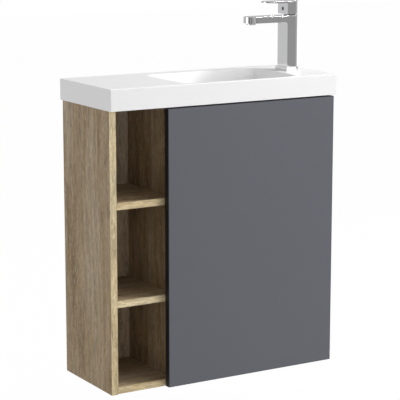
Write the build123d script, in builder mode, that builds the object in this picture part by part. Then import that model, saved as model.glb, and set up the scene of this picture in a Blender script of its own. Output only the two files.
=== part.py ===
from build123d import *
import os

os.makedirs("parts", exist_ok=True)

# Sizes in millimetres. +X is the cupboard side, -Y is the front, +Z is up.
# The origin is under the middle of the basin, at the height of the cabinet's bottom.

# Overall sizes
basin_width = 600.0
basin_depth = 247.5
basin_height = 48.5
carcass_height = 645.0
side_overhang = 6.7
front_overhang = 18.6

# Boards
board = 16.0
band = 0.8
niche_width = 142.0
lower_niche_height = 183.5
middle_niche_height = 206.5
shelf_setback = 4.0
back_sheet = 3.0
wall_void = 16.0
groove_depth = 6.0
slip = 0.1
upper_rail_height = 100.0
lower_rail_height = 80.0
cupboard_shelf_top = 236.0
cupboard_shelf_depth = 150.0

# Door
door_thickness = 16.0
door_gap = 2.0
door_overlap = 20.6
door_side_reveal = 2.3
door_bottom_reveal = 2.0
door_top_reveal = 3.0
door_band = 1.0
door_round = 0.5

# Basin
basin_corner = 2.5
basin_top_round = 1.6
skirt = 14.0
top_plate = 12.0
rib = 12.0
bowl_depth = 80.0
bowl_wall = 9.0
bowl_left = -103.0
bowl_right = 207.0
bowl_front_rim = 10.8
bowl_back_rim = 36.8
bowl_bow = 14.0
bowl_rim_round = 2.0
bowl_floor_round = 18.0
drain_x = 118.0
drain_y = -12.0

# Faucet
faucet_x = 251.0
faucet_y = 4.0
faucet_half = 21.0
faucet_front = 21.0
column_height = 131.0
plate_height = 10.0
plate_flange = 4.0
spout_thickness = 15.0
spout_reach = 106.3
lever_reach = 57.3
lever_gap = 3.2
lever_height = 31.1
lever_thickness = 5.0
lever_tip_thickness = 3.3
edge_round = 0.8

# Derived places of the boards
basin_front = -basin_depth / 2
wall_plane = basin_depth / 2
basin_top = carcass_height + basin_height
carcass_left = -basin_width / 2 + side_overhang
carcass_right = basin_width / 2 - side_overhang
carcass_front = basin_front + front_overhang
left_inner = carcass_left + board
right_inner = carcass_right - board
partition_left = left_inner + niche_width
partition_right = partition_left + board
shelf_front = carcass_front + shelf_setback
sheet_back = wall_plane - wall_void
sheet_front = sheet_back - back_sheet
rail_front = sheet_back - board
lower_shelf_bottom = board + lower_niche_height
lower_shelf_top = lower_shelf_bottom + board
upper_shelf_bottom = lower_shelf_top + middle_niche_height
upper_shelf_top = upper_shelf_bottom + board
door_back = carcass_front - door_gap
door_front = door_back - door_thickness
door_left = partition_left - door_overlap
door_right = carcass_right - door_side_reveal
door_bottom = door_bottom_reveal
door_top = carcass_height - door_top_reveal


def block(x_span, y_span, z_span, mode=Mode.ADD):
    """A box between two limits on each axis, in the part being built."""
    size = [high - low for low, high in (x_span, y_span, z_span)]
    with Locations((x_span[0], y_span[0], z_span[0])):
        Box(*size, align=(Align.MIN, Align.MIN, Align.MIN), mode=mode)


def rod_x(x_span, y, z, radius, mode=Mode.ADD):
    """A round bar along X."""
    with Locations((x_span[0], y, z)):
        Cylinder(radius, x_span[1] - x_span[0], rotation=(0, 90, 0),
                 align=(Align.CENTER, Align.CENTER, Align.MIN), mode=mode)


def rod_y(x, y_span, z, radius, mode=Mode.ADD):
    """A round bar along Y."""
    with Locations((x, y_span[0], z)):
        Cylinder(radius, y_span[1] - y_span[0], rotation=(-90, 0, 0),
                 align=(Align.CENTER, Align.CENTER, Align.MIN), mode=mode)


def rod_z(x, y, z_span, radius, mode=Mode.ADD):
    """A round bar along Z."""
    with Locations((x, y, z_span[0])):
        Cylinder(radius, z_span[1] - z_span[0],
                 align=(Align.CENTER, Align.CENTER, Align.MIN), mode=mode)


def ordered(first, second):
    """The two numbers as a span, lowest first."""
    return min(first, second), max(first, second)


# Dowels and cam fittings between the ends of the lying boards and the standing ones.
# Each board end is its plane, the way into the board and the board's middle height.
dowel_radius = 4.0
dowel_in_panel = 10.0
dowel_in_board = 20.0
cam_radius = 7.5
cam_depth = 12.0
cam_reach = 24.0
bolt_radius = 3.0
bolt_in_panel = 11.0
fitting_inset = 30.0
fitting_pitch = 32.0
half_board = board / 2
bottom_middle = half_board
lower_middle = lower_shelf_bottom + half_board
upper_middle = upper_shelf_bottom + half_board
left_ends = [(left_inner, 1, level) for level in (bottom_middle, lower_middle, upper_middle)]
partition_ends = [(partition_left, -1, level) for level in (lower_middle, upper_middle)]
right_ends = [(right_inner, -1, bottom_middle)]
fitting_front = shelf_front + fitting_inset
fitting_back = sheet_front - fitting_inset
dowel_rows = (fitting_front, fitting_back)
cam_rows = (fitting_front + fitting_pitch, fitting_back - fitting_pitch)


def dowels(ends, loose=0.0, mode=Mode.ADD):
    """The dowels at these board ends, or with some clearance their holes."""
    for plane, way, level in ends:
        panel_side = plane - way * (dowel_in_panel + loose)
        board_side = plane + way * (dowel_in_board + loose)
        for row in dowel_rows:
            rod_x(ordered(panel_side, board_side), row, level, dowel_radius + loose, mode)


def cam_bolt_rods(ends, loose=0.0, mode=Mode.ADD):
    """The steel bolts from the panel into the cam, or their holes."""
    for plane, way, level in ends:
        panel_side = plane - way * (bolt_in_panel + loose)
        board_side = plane + way * (cam_reach - cam_radius)
        for row in cam_rows:
            rod_x(ordered(panel_side, board_side), row, level, bolt_radius + loose, mode)


def cam_discs(ends, loose=0.0, mode=Mode.ADD):
    """The cam housings let into the underside of the lying boards, or their holes."""
    for plane, way, level in ends:
        low = level - half_board
        for row in cam_rows:
            rod_z(plane + way * cam_reach, row, (low, low + cam_depth + loose),
                  cam_radius + loose, mode)


def board_end_holes(ends):
    """Everything that is drilled into a lying board at these ends."""
    dowels(ends, slip, Mode.SUBTRACT)
    cam_bolt_rods(ends, slip, Mode.SUBTRACT)
    cam_discs(ends, slip, Mode.SUBTRACT)


def panel_holes(ends):
    """Everything that is drilled into a standing panel at these board ends."""
    dowels(ends, slip, Mode.SUBTRACT)
    cam_bolt_rods(ends, slip, Mode.SUBTRACT)


# Rail dowels lie along X too, at the middle of the rails' thickness.
rail_middle = rail_front + half_board
rail_ends = [(partition_right, 1), (right_inner, -1)]
rail_levels = (board + lower_rail_height / 2, carcass_height - upper_rail_height / 2)


def rail_dowels(loose=0.0, mode=Mode.ADD):
    """The dowels at the rail ends, or their holes."""
    for plane, way in rail_ends:
        panel_side = plane - way * (dowel_in_panel + loose)
        rail_side = plane + way * (dowel_in_board + loose)
        for level in rail_levels:
            rod_x(ordered(panel_side, rail_side), rail_middle, level, dowel_radius + loose, mode)


# Partition dowels stand on the bottom panel.
partition_middle = partition_left + half_board


def partition_dowels(loose=0.0, mode=Mode.ADD):
    """The standing dowels under the partition, or their holes."""
    for row in dowel_rows:
        rod_z(partition_middle, row, (board - dowel_in_panel - loose, board + dowel_in_board + loose),
              dowel_radius + loose, mode)


# Shelf pins carry the cupboard shelf.
pin_radius = 2.5
pin_in_panel = 8.0
pin_out = 8.0
shelf_clearance = 1.0
cupboard_shelf_bottom = cupboard_shelf_top - board
cupboard_shelf_front = shelf_front + shelf_setback
pin_rows = (cupboard_shelf_front + fitting_inset,
            cupboard_shelf_front + cupboard_shelf_depth - fitting_inset)
pin_level = cupboard_shelf_bottom - pin_radius


def shelf_pin_rods(loose=0.0, mode=Mode.ADD):
    """The four shelf pins, or their holes."""
    for plane, way in rail_ends:
        panel_side = plane - way * (pin_in_panel + loose)
        for row in pin_rows:
            rod_x(ordered(panel_side, plane + way * pin_out), row, pin_level,
                  pin_radius + loose, mode)


# Niche back sheet in its grooves
sheet_left = left_inner - groove_depth + slip
sheet_right = partition_left + groove_depth - slip
sheet_bottom = board - groove_depth + slip


def sheet_groove():
    """The groove that takes the niche back sheet, cut from the part being built."""
    block((sheet_left - slip, sheet_right + slip), (sheet_front - slip, sheet_back + slip),
          (sheet_bottom - slip, carcass_height), Mode.SUBTRACT)


with BuildPart() as left_side_panel:
    block((carcass_left, left_inner), (carcass_front + band, wall_plane), (0, carcass_height))
    sheet_groove()
    panel_holes(left_ends)
left_side_panel.part.label = "left_side_panel"
export_step(left_side_panel.part, "parts/left_side_panel.step")

with BuildPart() as partition_panel:
    block((partition_left, partition_right), (carcass_front + band, wall_plane),
          (board, carcass_height))
    sheet_groove()
    panel_holes(partition_ends)
    rail_dowels(slip, Mode.SUBTRACT)
    partition_dowels(slip, Mode.SUBTRACT)
    shelf_pin_rods(slip, Mode.SUBTRACT)
partition_panel.part.label = "partition_panel"
export_step(partition_panel.part, "parts/partition_panel.step")

with BuildPart() as bottom_panel:
    block((left_inner, right_inner), (shelf_front + band, wall_plane), (0, board))
    sheet_groove()
    board_end_holes([left_ends[0], right_ends[0]])
    partition_dowels(slip, Mode.SUBTRACT)
bottom_panel.part.label = "bottom_panel"
export_step(bottom_panel.part, "parts/bottom_panel.step")

with BuildPart() as niche_back_panel:
    block((sheet_left, sheet_right), (sheet_front, sheet_back), (sheet_bottom, carcass_height))
niche_back_panel.part.label = "niche_back_panel"
export_step(niche_back_panel.part, "parts/niche_back_panel.step")

with BuildPart() as niche_shelf_lower:
    block((left_inner, partition_left), (shelf_front + band, sheet_front - slip),
          (lower_shelf_bottom, lower_shelf_top))
    board_end_holes([left_ends[1], partition_ends[0]])
niche_shelf_lower.part.label = "niche_shelf_lower"
export_step(niche_shelf_lower.part, "parts/niche_shelf_lower.step")

with BuildPart() as niche_shelf_upper:
    block((left_inner, partition_left), (shelf_front + band, sheet_front - slip),
          (upper_shelf_bottom, upper_shelf_top))
    board_end_holes([left_ends[2], partition_ends[1]])
niche_shelf_upper.part.label = "niche_shelf_upper"
export_step(niche_shelf_upper.part, "parts/niche_shelf_upper.step")

with BuildPart() as cupboard_shelf:
    block((partition_right + shelf_clearance, right_inner - shelf_clearance),
          (cupboard_shelf_front + band, cupboard_shelf_front + cupboard_shelf_depth),
          (cupboard_shelf_bottom, cupboard_shelf_top))
cupboard_shelf.part.label = "cupboard_shelf"
export_step(cupboard_shelf.part, "parts/cupboard_shelf.step")

with BuildPart() as shelf_pins:
    shelf_pin_rods()
shelf_pins.part.label = "shelf_pins"
export_step(shelf_pins.part, "parts/shelf_pins.step")

# Wall hanging: each hanger's hook passes through a slot in the end of the upper rail
# and drops behind the lip of the steel rail that is screwed to the wall.
hanger_width = 18.0
hanger_depth = 44.0
hanger_height = 56.0
hanger_top_inset = 16.0
hanger_wall = 2.0
hook_thickness = 4.0
hook_depth = 12.0
hook_drop = 12.0
hook_tooth = 2.6
hook_play = 0.4
hook_root = 12.0
hook_slot_clearance = 1.0
hanger_screw_radius = 3.0
hanger_screw_length = 10.0
hanger_screw_head = 1.5
hanger_screw_inset = 9.0
screw_slot = 1.0
wall_rail_thickness = 1.5
wall_rail_standoff = 4.0
wall_rail_height = 35.0
wall_rail_lip = 17.0
wall_rail_drop = 45.0
wall_rail_margin = 4.0
wall_hole_radius = 3.25
wall_hole_inset = 8.0
wall_hole_pitches = (120.0, 340.0)
hanger_high = carcass_height - hanger_top_inset
hanger_low = hanger_high - hanger_height
hanger_centres = [partition_right + hanger_width / 2, right_inner - hanger_width / 2]
rail_centre = (partition_right + right_inner) / 2
wall_rail_high = carcass_height - wall_rail_drop
wall_rail_jog = wall_rail_high - wall_rail_lip
wall_rail_low = wall_rail_high - wall_rail_height
wall_hole_level = wall_rail_low + wall_hole_inset
lip_back = wall_plane - wall_rail_standoff
lip_front = lip_back - wall_rail_thickness
hook_end = lip_back + hook_play + hook_tooth

with BuildPart() as upper_back_rail:
    block((partition_right, right_inner), (rail_front, sheet_back),
          (carcass_height - upper_rail_height, carcass_height))
    rail_dowels(slip, Mode.SUBTRACT)
    for centre in hanger_centres:
        half_slot = hook_thickness / 2 + hook_slot_clearance
        block((centre - half_slot, centre + half_slot), (rail_front, sheet_back),
              (wall_rail_high - hook_slot_clearance,
               wall_rail_high + hook_depth + hook_slot_clearance), Mode.SUBTRACT)
upper_back_rail.part.label = "upper_back_rail"
export_step(upper_back_rail.part, "parts/upper_back_rail.step")

with BuildPart() as lower_back_rail:
    block((partition_right, right_inner), (rail_front, sheet_back),
          (board, board + lower_rail_height))
    rail_dowels(slip, Mode.SUBTRACT)
lower_back_rail.part.label = "lower_back_rail"
export_step(lower_back_rail.part, "parts/lower_back_rail.step")

with BuildPart() as board_edge_bands:
    for low, high, foot in ((carcass_left, left_inner, 0.0),
                            (partition_left, partition_right, board),
                            (right_inner, carcass_right, 0.0)):
        block((low, high), (carcass_front, carcass_front + band), (foot, carcass_height))
    block((left_inner, right_inner), (shelf_front, shelf_front + band), (0, board))
    for foot in (lower_shelf_bottom, upper_shelf_bottom):
        block((left_inner, partition_left), (shelf_front, shelf_front + band), (foot, foot + board))
    block((partition_right + shelf_clearance, right_inner - shelf_clearance),
          (cupboard_shelf_front, cupboard_shelf_front + band),
          (cupboard_shelf_bottom, cupboard_shelf_top))
board_edge_bands.part.label = "board_edge_bands"
export_step(board_edge_bands.part, "parts/board_edge_bands.step")

with BuildPart() as wood_dowels:
    dowels(left_ends + partition_ends + right_ends)
    rail_dowels()
    partition_dowels()
wood_dowels.part.label = "wood_dowels"
export_step(wood_dowels.part, "parts/wood_dowels.step")

with BuildPart() as cam_housings:
    cam_discs(left_ends + partition_ends + right_ends)
    cam_bolt_rods(left_ends + partition_ends + right_ends, slip, Mode.SUBTRACT)
cam_housings.part.label = "cam_housings"
export_step(cam_housings.part, "parts/cam_housings.step")

with BuildPart() as cam_bolts:
    cam_bolt_rods(left_ends + partition_ends + right_ends)
cam_bolts.part.label = "cam_bolts"
export_step(cam_bolts.part, "parts/cam_bolts.step")

# The hanger screws clamp the hooks up and back; they stand in the hanger's front face.
hanger_back = rail_front
hanger_front = rail_front - hanger_depth
hanger_screw_levels = (hanger_low + hanger_screw_inset, hanger_high - hanger_screw_inset)
hook_inner = hanger_front + hook_root

with BuildPart() as hanger_bodies:
    for centre in hanger_centres:
        block((centre - hanger_width / 2, centre + hanger_width / 2),
              (hanger_front, hanger_back), (hanger_low, hanger_high))
        block((centre - hanger_width / 2 + hanger_wall, centre + hanger_width / 2 - hanger_wall),
              (hook_inner, hanger_back),
              (wall_rail_high - hanger_wall, wall_rail_high + hook_depth + hanger_wall),
              Mode.SUBTRACT)
        for level in hanger_screw_levels:
            rod_y(centre, (hanger_front, hanger_front + hanger_screw_length), level,
                  hanger_screw_radius + slip, Mode.SUBTRACT)
hanger_bodies.part.label = "hanger_bodies"
export_step(hanger_bodies.part, "parts/hanger_bodies.step")

with BuildPart() as hanger_hooks:
    for centre in hanger_centres:
        half = hook_thickness / 2
        block((centre - half, centre + half), (hook_inner, hook_end),
              (wall_rail_high, wall_rail_high + hook_depth))
        block((centre - half, centre + half), (hook_end - hook_tooth, hook_end),
              (wall_rail_high - hook_drop, wall_rail_high))
hanger_hooks.part.label = "hanger_hooks"
export_step(hanger_hooks.part, "parts/hanger_hooks.step")

with BuildPart() as hanger_screws:
    for centre in hanger_centres:
        for level in hanger_screw_levels:
            rod_y(centre, (hanger_front - hanger_screw_head, hanger_front + hanger_screw_length),
                  level, hanger_screw_radius)
            block((centre - hanger_screw_radius, centre + hanger_screw_radius),
                  (hanger_front - hanger_screw_head, hanger_front - hanger_screw_head + screw_slot),
                  (level - screw_slot / 2, level + screw_slot / 2), Mode.SUBTRACT)
hanger_screws.part.label = "hanger_screws"
export_step(hanger_screws.part, "parts/hanger_screws.step")

with BuildPart() as wall_rail:
    rail_low_x = partition_right + wall_rail_margin
    rail_high_x = right_inner - wall_rail_margin
    block((rail_low_x, rail_high_x), (wall_plane - wall_rail_thickness, wall_plane),
          (wall_rail_low, wall_rail_jog))
    block((rail_low_x, rail_high_x), (lip_front, wall_plane),
          (wall_rail_jog - wall_rail_thickness, wall_rail_jog))
    block((rail_low_x, rail_high_x), (lip_front, lip_back), (wall_rail_jog, wall_rail_high))
    for pitch in wall_hole_pitches:
        for way in (-1, 1):
            rod_y(rail_centre + way * pitch / 2, (lip_front, wall_plane), wall_hole_level,
                  wall_hole_radius, Mode.SUBTRACT)
wall_rail.part.label = "wall_rail"
export_step(wall_rail.part, "parts/wall_rail.step")

# Concealed cup hinges. The door turns about one upright axis, 5 in from its right edge and
# 8 in front of its back, which stands for the path that the hinge's links give it.
hinge_end_inset = 92.0
cup_inset = 22.5
cup_radius = 17.5
cup_depth = 11.5
cup_wall = 1.0
cup_flange = 1.2
cup_flange_rim = 1.0
cup_ear_pitch = 48.0
cup_ear_radius = 6.0
cup_screw_radius = 1.8
cup_screw_head = 3.4
cup_screw_head_height = 1.0
cup_screw_length = 10.0
link_half_width = 5.0
link_half_height = 6.0
link_wall = 2.5
link_in_cup = 7.0
link_in_cupboard = 13.0
link_pin_radius = 1.5
link_pin_inset = 3.0
link_pin_play = 0.1
arm_gap = 1.5
arm_wall = 1.5
arm_width = 18.8
arm_setback = 1.0
arm_slot = 16.0
arm_length = 59.0
plate_base = 1.5
plate_half_height = 24.0
plate_length = 20.0
plate_setback = 27.0
plate_screw_offset = 16.0
plate_screw_radius = 2.0
plate_screw_head = 4.0
plate_screw_head_height = 1.5
plate_screw_length = 12.0
arm_screw_radius = 2.0
arm_screw_head = 3.6
arm_screw_head_height = 2.0
arm_screw_play = 1.0

# Derived places of the hinges
hinge_levels = (door_bottom + hinge_end_inset, door_top - hinge_end_inset)
cup_x = door_right - cup_inset
cup_back = door_back + cup_flange
link_start = door_back - link_in_cup
link_end = carcass_front + link_in_cupboard
link_pin_y = link_start + link_pin_inset
link_pin_half = cup_radius - cup_wall - link_pin_play
arm_half_inner = link_half_height + arm_gap
arm_half_outer = arm_half_inner + arm_wall
arm_right = right_inner - plate_base
arm_left = arm_right - arm_width
arm_front = carcass_front + arm_setback
arm_web_front = arm_front + arm_slot
arm_end = arm_front + arm_length
plate_front = carcass_front + plate_setback
plate_end = plate_front + plate_length
plate_middle = (plate_front + plate_end) / 2

with BuildPart() as right_side_panel:
    block((right_inner, carcass_right), (carcass_front + band, wall_plane), (0, carcass_height))
    panel_holes(right_ends)
    rail_dowels(slip, Mode.SUBTRACT)
    shelf_pin_rods(slip, Mode.SUBTRACT)
    for hinge_level in hinge_levels:
        for way in (-1, 1):
            rod_x((right_inner, right_inner + plate_screw_length), plate_middle,
                  hinge_level + way * plate_screw_offset, plate_screw_radius + slip, Mode.SUBTRACT)
right_side_panel.part.label = "right_side_panel"
export_step(right_side_panel.part, "parts/right_side_panel.step")

with BuildPart() as door_panel:
    block((door_left + door_band, door_right - door_band), (door_front, door_back),
          (door_bottom + door_band, door_top - door_band))
    for hinge_level in hinge_levels:
        rod_y(cup_x, (door_back - cup_depth - slip, door_back), hinge_level,
              cup_radius + slip, Mode.SUBTRACT)
        for way in (-1, 1):
            rod_y(cup_x, (door_back - cup_screw_length, door_back),
                  hinge_level + way * cup_ear_pitch / 2, cup_screw_radius + slip, Mode.SUBTRACT)
door_panel.part.label = "door_panel"
export_step(door_panel.part, "parts/door_panel.step")

with BuildPart() as door_edge_band:
    block((door_left, door_right), (door_front, door_back), (door_bottom, door_top))
    fillet(door_edge_band.faces().sort_by(Axis.Y)[0].edges(), door_round)
    block((door_left + door_band, door_right - door_band), (door_front, door_back),
          (door_bottom + door_band, door_top - door_band), Mode.SUBTRACT)
door_edge_band.part.label = "door_edge_band"
export_step(door_edge_band.part, "parts/door_edge_band.step")

bumper_radius = 4.0
bumper_height = 1.7
bumper_inset = 40.0
bumper_round = 0.6

with BuildPart() as door_bumpers:
    for level in (door_bottom + bumper_inset, door_top - bumper_inset):
        rod_y(partition_middle, (door_back, door_back + bumper_height), level, bumper_radius)
    fillet(door_bumpers.faces().sort_by(Axis.Y)[-2:].edges(), bumper_round)
door_bumpers.part.label = "door_bumpers"
export_step(door_bumpers.part, "parts/door_bumpers.step")

with BuildPart() as hinge_cups:
    for hinge_level in hinge_levels:
        for way in (-1, 1):
            rod_y(cup_x, (door_back, cup_back), hinge_level + way * cup_ear_pitch / 2,
                  cup_ear_radius)
        block((cup_x - cup_ear_radius, cup_x + cup_ear_radius), (door_back, cup_back),
              (hinge_level - cup_ear_pitch / 2, hinge_level + cup_ear_pitch / 2))
        rod_y(cup_x, (door_back, cup_back), hinge_level, cup_radius + cup_flange_rim)
        rod_y(cup_x, (door_back - cup_depth, door_back), hinge_level, cup_radius)
        rod_y(cup_x, (door_back - cup_depth + cup_wall, cup_back), hinge_level,
              cup_radius - cup_wall, Mode.SUBTRACT)
        for way in (-1, 1):
            rod_y(cup_x, (door_back, cup_back), hinge_level + way * cup_ear_pitch / 2,
                  cup_screw_radius + slip, Mode.SUBTRACT)
hinge_cups.part.label = "hinge_cups"
export_step(hinge_cups.part, "parts/hinge_cups.step")

with BuildPart() as hinge_cup_screws:
    for hinge_level in hinge_levels:
        for way in (-1, 1):
            level = hinge_level + way * cup_ear_pitch / 2
            rod_y(cup_x, (door_back - cup_screw_length, cup_back), level, cup_screw_radius)
            rod_y(cup_x, (cup_back, cup_back + cup_screw_head_height), level, cup_screw_head)
hinge_cup_screws.part.label = "hinge_cup_screws"
export_step(hinge_cup_screws.part, "parts/hinge_cup_screws.step")

# Each link is a folded steel channel, riveted to a pin across the cup.
with BuildPart() as hinge_links:
    for hinge_level in hinge_levels:
        block((cup_x - link_half_width, cup_x + link_half_width), (link_start, link_end),
              (hinge_level - link_half_height, hinge_level + link_half_height))
        block((cup_x - link_half_width + link_wall, cup_x + link_half_width), (link_start, link_end),
              (hinge_level - link_half_height + link_wall, hinge_level + link_half_height - link_wall),
              Mode.SUBTRACT)
        rod_z(cup_x, link_pin_y, (hinge_level - link_pin_half, hinge_level + link_pin_half),
              link_pin_radius)
hinge_links.part.label = "hinge_links"
export_step(hinge_links.part, "parts/hinge_links.step")

with BuildPart() as hinge_arms:
    for hinge_level in hinge_levels:
        block((arm_left, arm_right), (arm_front, arm_end),
              (hinge_level - arm_half_outer, hinge_level + arm_half_outer))
        block((arm_left + arm_wall, right_inner), (arm_front, arm_end),
              (hinge_level - arm_half_inner, hinge_level + arm_half_inner), Mode.SUBTRACT)
        block((arm_left, right_inner), (arm_front, arm_web_front),
              (hinge_level - arm_half_inner, hinge_level + arm_half_inner), Mode.SUBTRACT)
        rod_x((arm_left, arm_left + arm_wall), plate_middle, hinge_level,
              arm_screw_radius + slip, Mode.SUBTRACT)
hinge_arms.part.label = "hinge_arms"
export_step(hinge_arms.part, "parts/hinge_arms.step")

with BuildPart() as hinge_mounting_plates:
    for hinge_level in hinge_levels:
        block((arm_right, right_inner), (plate_front, plate_end),
              (hinge_level - plate_half_height, hinge_level + plate_half_height))
        block((arm_left + arm_wall, right_inner), (plate_front, plate_end),
              (hinge_level - arm_half_inner + slip, hinge_level + arm_half_inner - slip))
        rod_x((arm_left, right_inner), plate_middle, hinge_level,
              arm_screw_radius + slip, Mode.SUBTRACT)
        for way in (-1, 1):
            rod_x((arm_right, right_inner), plate_middle,
                  hinge_level + way * plate_screw_offset, plate_screw_radius + slip, Mode.SUBTRACT)
hinge_mounting_plates.part.label = "hinge_mounting_plates"
export_step(hinge_mounting_plates.part, "parts/hinge_mounting_plates.step")

with BuildPart() as hinge_plate_screws:
    for hinge_level in hinge_levels:
        for way in (-1, 1):
            level = hinge_level + way * plate_screw_offset
            rod_x((arm_right, right_inner + plate_screw_length), plate_middle,
                  level, plate_screw_radius)
            rod_x((arm_right - plate_screw_head_height, arm_right), plate_middle,
                  level, plate_screw_head)
hinge_plate_screws.part.label = "hinge_plate_screws"
export_step(hinge_plate_screws.part, "parts/hinge_plate_screws.step")

with BuildPart() as hinge_arm_screws:
    for hinge_level in hinge_levels:
        arm_screw_face = arm_left - arm_screw_head_height
        rod_x((arm_left, right_inner - arm_screw_play), plate_middle, hinge_level,
              arm_screw_radius)
        rod_x((arm_screw_face, arm_left), plate_middle, hinge_level, arm_screw_head)
        block((arm_screw_face, arm_screw_face + screw_slot),
              (plate_middle - arm_screw_head, plate_middle + arm_screw_head),
              (hinge_level - screw_slot / 2, hinge_level + screw_slot / 2), Mode.SUBTRACT)
hinge_arm_screws.part.label = "hinge_arm_screws"
export_step(hinge_arm_screws.part, "parts/hinge_arm_screws.step")

# The bowl is a loft through four level outlines. Each is its drop below the basin's top,
# how far its left, right, front and back sides stand in, and its corner radius.
bowl_front = basin_front + bowl_front_rim
bowl_back = wall_plane - bowl_back_rim
bowl_levels = (
    (0.0, 0.0, 0.0, 0.0, 0.0, 24.0),
    (14.0, 33.0, 2.5, 5.5, 5.5, 32.0),
    (42.0, 98.0, 9.0, 17.0, 17.0, 44.0),
    (bowl_depth, 152.0, 27.0, 42.0, 40.0, 44.0),
)


def bowl_outline(level, grow):
    """One level outline of the bowl, with a bowed right end, grown outward by a wall."""
    drop, left_in, right_in, front_in, back_in, corner = level
    left = bowl_left + left_in - grow
    right = bowl_right - right_in + grow
    front = bowl_front + front_in - grow
    back = bowl_back - back_in + grow
    bow = bowl_bow * (back - front) / (bowl_back - bowl_front)
    with BuildSketch(Plane.XY.offset(basin_top - drop - grow)) as outline:
        with BuildLine():
            Polyline((right - bow, back), (left, back), (left, front), (right - bow, front))
            ThreePointArc((right - bow, front), (right, (front + back) / 2), (right - bow, back))
        make_face()
        fillet(outline.vertices(), corner + grow)
    return outline.sketch


bowl_floor_z = basin_top - bowl_depth

with BuildPart() as bowl_space:
    loft([bowl_outline(level, 0.0) for level in bowl_levels])
    fillet(bowl_space.faces().sort_by(Axis.Z)[0].edges(), bowl_floor_round)

with BuildPart() as bowl_shell:
    loft([bowl_outline(level, bowl_wall) for level in bowl_levels])
    fillet(bowl_shell.faces().sort_by(Axis.Z)[0].edges(), bowl_floor_round)

# Waste opening in the bowl's floor
waste_flange_radius = 31.5
waste_flange_height = 3.5
waste_gasket_height = 1.0
waste_recess = 3.0
waste_hole_radius = 22.6
deck_hole_radius = 17.5
under_bowl = bowl_floor_z - bowl_wall
under_deck = basin_top - top_plate
recess_floor = bowl_floor_z - waste_recess

with BuildPart() as basin:
    with BuildSketch(Plane.XY.offset(carcass_height)):
        RectangleRounded(basin_width, basin_depth, basin_corner)
    extrude(amount=basin_height)
    fillet(basin.faces().sort_by(Axis.Z)[-1].edges(), basin_top_round)
    block((-basin_width / 2 + skirt, basin_width / 2 - skirt),
          (basin_front + skirt, wall_plane - skirt),
          (carcass_height, under_deck), Mode.SUBTRACT)
    block((partition_middle - rib / 2, partition_middle + rib / 2),
          (basin_front + skirt, wall_plane - skirt), (carcass_height, under_deck))
    add(bowl_shell.part)
    add(bowl_space.part, mode=Mode.SUBTRACT)
    bowl_rim = basin.faces().filter_by(Plane.XY).sort_by(Axis.Z)[-1].inner_wires()[0]
    fillet(bowl_rim.edges(), bowl_rim_round)
    rod_z(drain_x, drain_y, (under_bowl, bowl_floor_z), waste_hole_radius, Mode.SUBTRACT)
    rod_z(drain_x, drain_y, (recess_floor, bowl_floor_z),
          waste_flange_radius + slip, Mode.SUBTRACT)
    rod_z(faucet_x, faucet_y, (under_deck, basin_top), deck_hole_radius, Mode.SUBTRACT)
basin.part.label = "basin"
export_step(basin.part, "parts/basin.step")

# Click waste: body through the bowl's floor, gaskets, nut, and the plug on its stem
waste_bore = 19.0
waste_shank = 22.5
waste_shank_length = 28.0
waste_tail = 18.9
waste_tail_bore = 15.5
waste_tail_length = 26.0
waste_step = 4.0
waste_flange_round = 1.2
spider_lift = 8.0
spider_height = 6.0
spider_bar = 6.0
spider_hub = 7.0
spider_root = 1.0
waste_shank_low = under_bowl - waste_shank_length
waste_tail_low = waste_shank_low - waste_tail_length
flange_low = recess_floor + waste_gasket_height
flange_top = flange_low + waste_flange_height
spider_low = waste_shank_low + spider_lift
plug_stem_radius = 4.0
running_clearance = 0.05
plug_radius = 29.0
plug_height = 4.0
plug_round = 2.0
plug_stem_tail = 2.0
plug_seal_height = 2.2
plug_seal_outer = 26.0
plug_seal_inner = 20.5
seat_gap = 0.3
backnut_radius = 29.0
backnut_height = 10.0
lower_gasket_height = 3.5

with BuildPart() as waste_body:
    rod_z(drain_x, drain_y, (flange_low, flange_top), waste_flange_radius)
    fillet(waste_body.edges().sort_by(Axis.Z)[-1], waste_flange_round)
    rod_z(drain_x, drain_y, (waste_shank_low, flange_low), waste_shank)
    rod_z(drain_x, drain_y, (waste_tail_low, waste_shank_low), waste_tail)
    rod_z(drain_x, drain_y, (waste_shank_low + waste_step, flange_top), waste_bore, Mode.SUBTRACT)
    rod_z(drain_x, drain_y, (waste_tail_low, waste_shank_low + waste_step), waste_tail_bore,
          Mode.SUBTRACT)
    block((drain_x - waste_bore - spider_root, drain_x + waste_bore + spider_root),
          (drain_y - spider_bar / 2, drain_y + spider_bar / 2),
          (spider_low, spider_low + spider_height))
    rod_z(drain_x, drain_y, (spider_low, spider_low + spider_height), spider_hub)
    rod_z(drain_x, drain_y, (spider_low, spider_low + spider_height),
          plug_stem_radius + running_clearance, Mode.SUBTRACT)
waste_body.part.label = "waste_body"
export_step(waste_body.part, "parts/waste_body.step")

with BuildPart() as waste_upper_gasket:
    rod_z(drain_x, drain_y, (recess_floor, flange_low), waste_flange_radius)
    rod_z(drain_x, drain_y, (recess_floor, flange_low), waste_shank + slip, Mode.SUBTRACT)
waste_upper_gasket.part.label = "waste_upper_gasket"
export_step(waste_upper_gasket.part, "parts/waste_upper_gasket.step")

with BuildPart() as waste_lower_gasket:
    rod_z(drain_x, drain_y, (under_bowl - lower_gasket_height, under_bowl), waste_flange_radius)
    rod_z(drain_x, drain_y, (under_bowl - lower_gasket_height, under_bowl),
          waste_shank + slip, Mode.SUBTRACT)
waste_lower_gasket.part.label = "waste_lower_gasket"
export_step(waste_lower_gasket.part, "parts/waste_lower_gasket.step")

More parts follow.
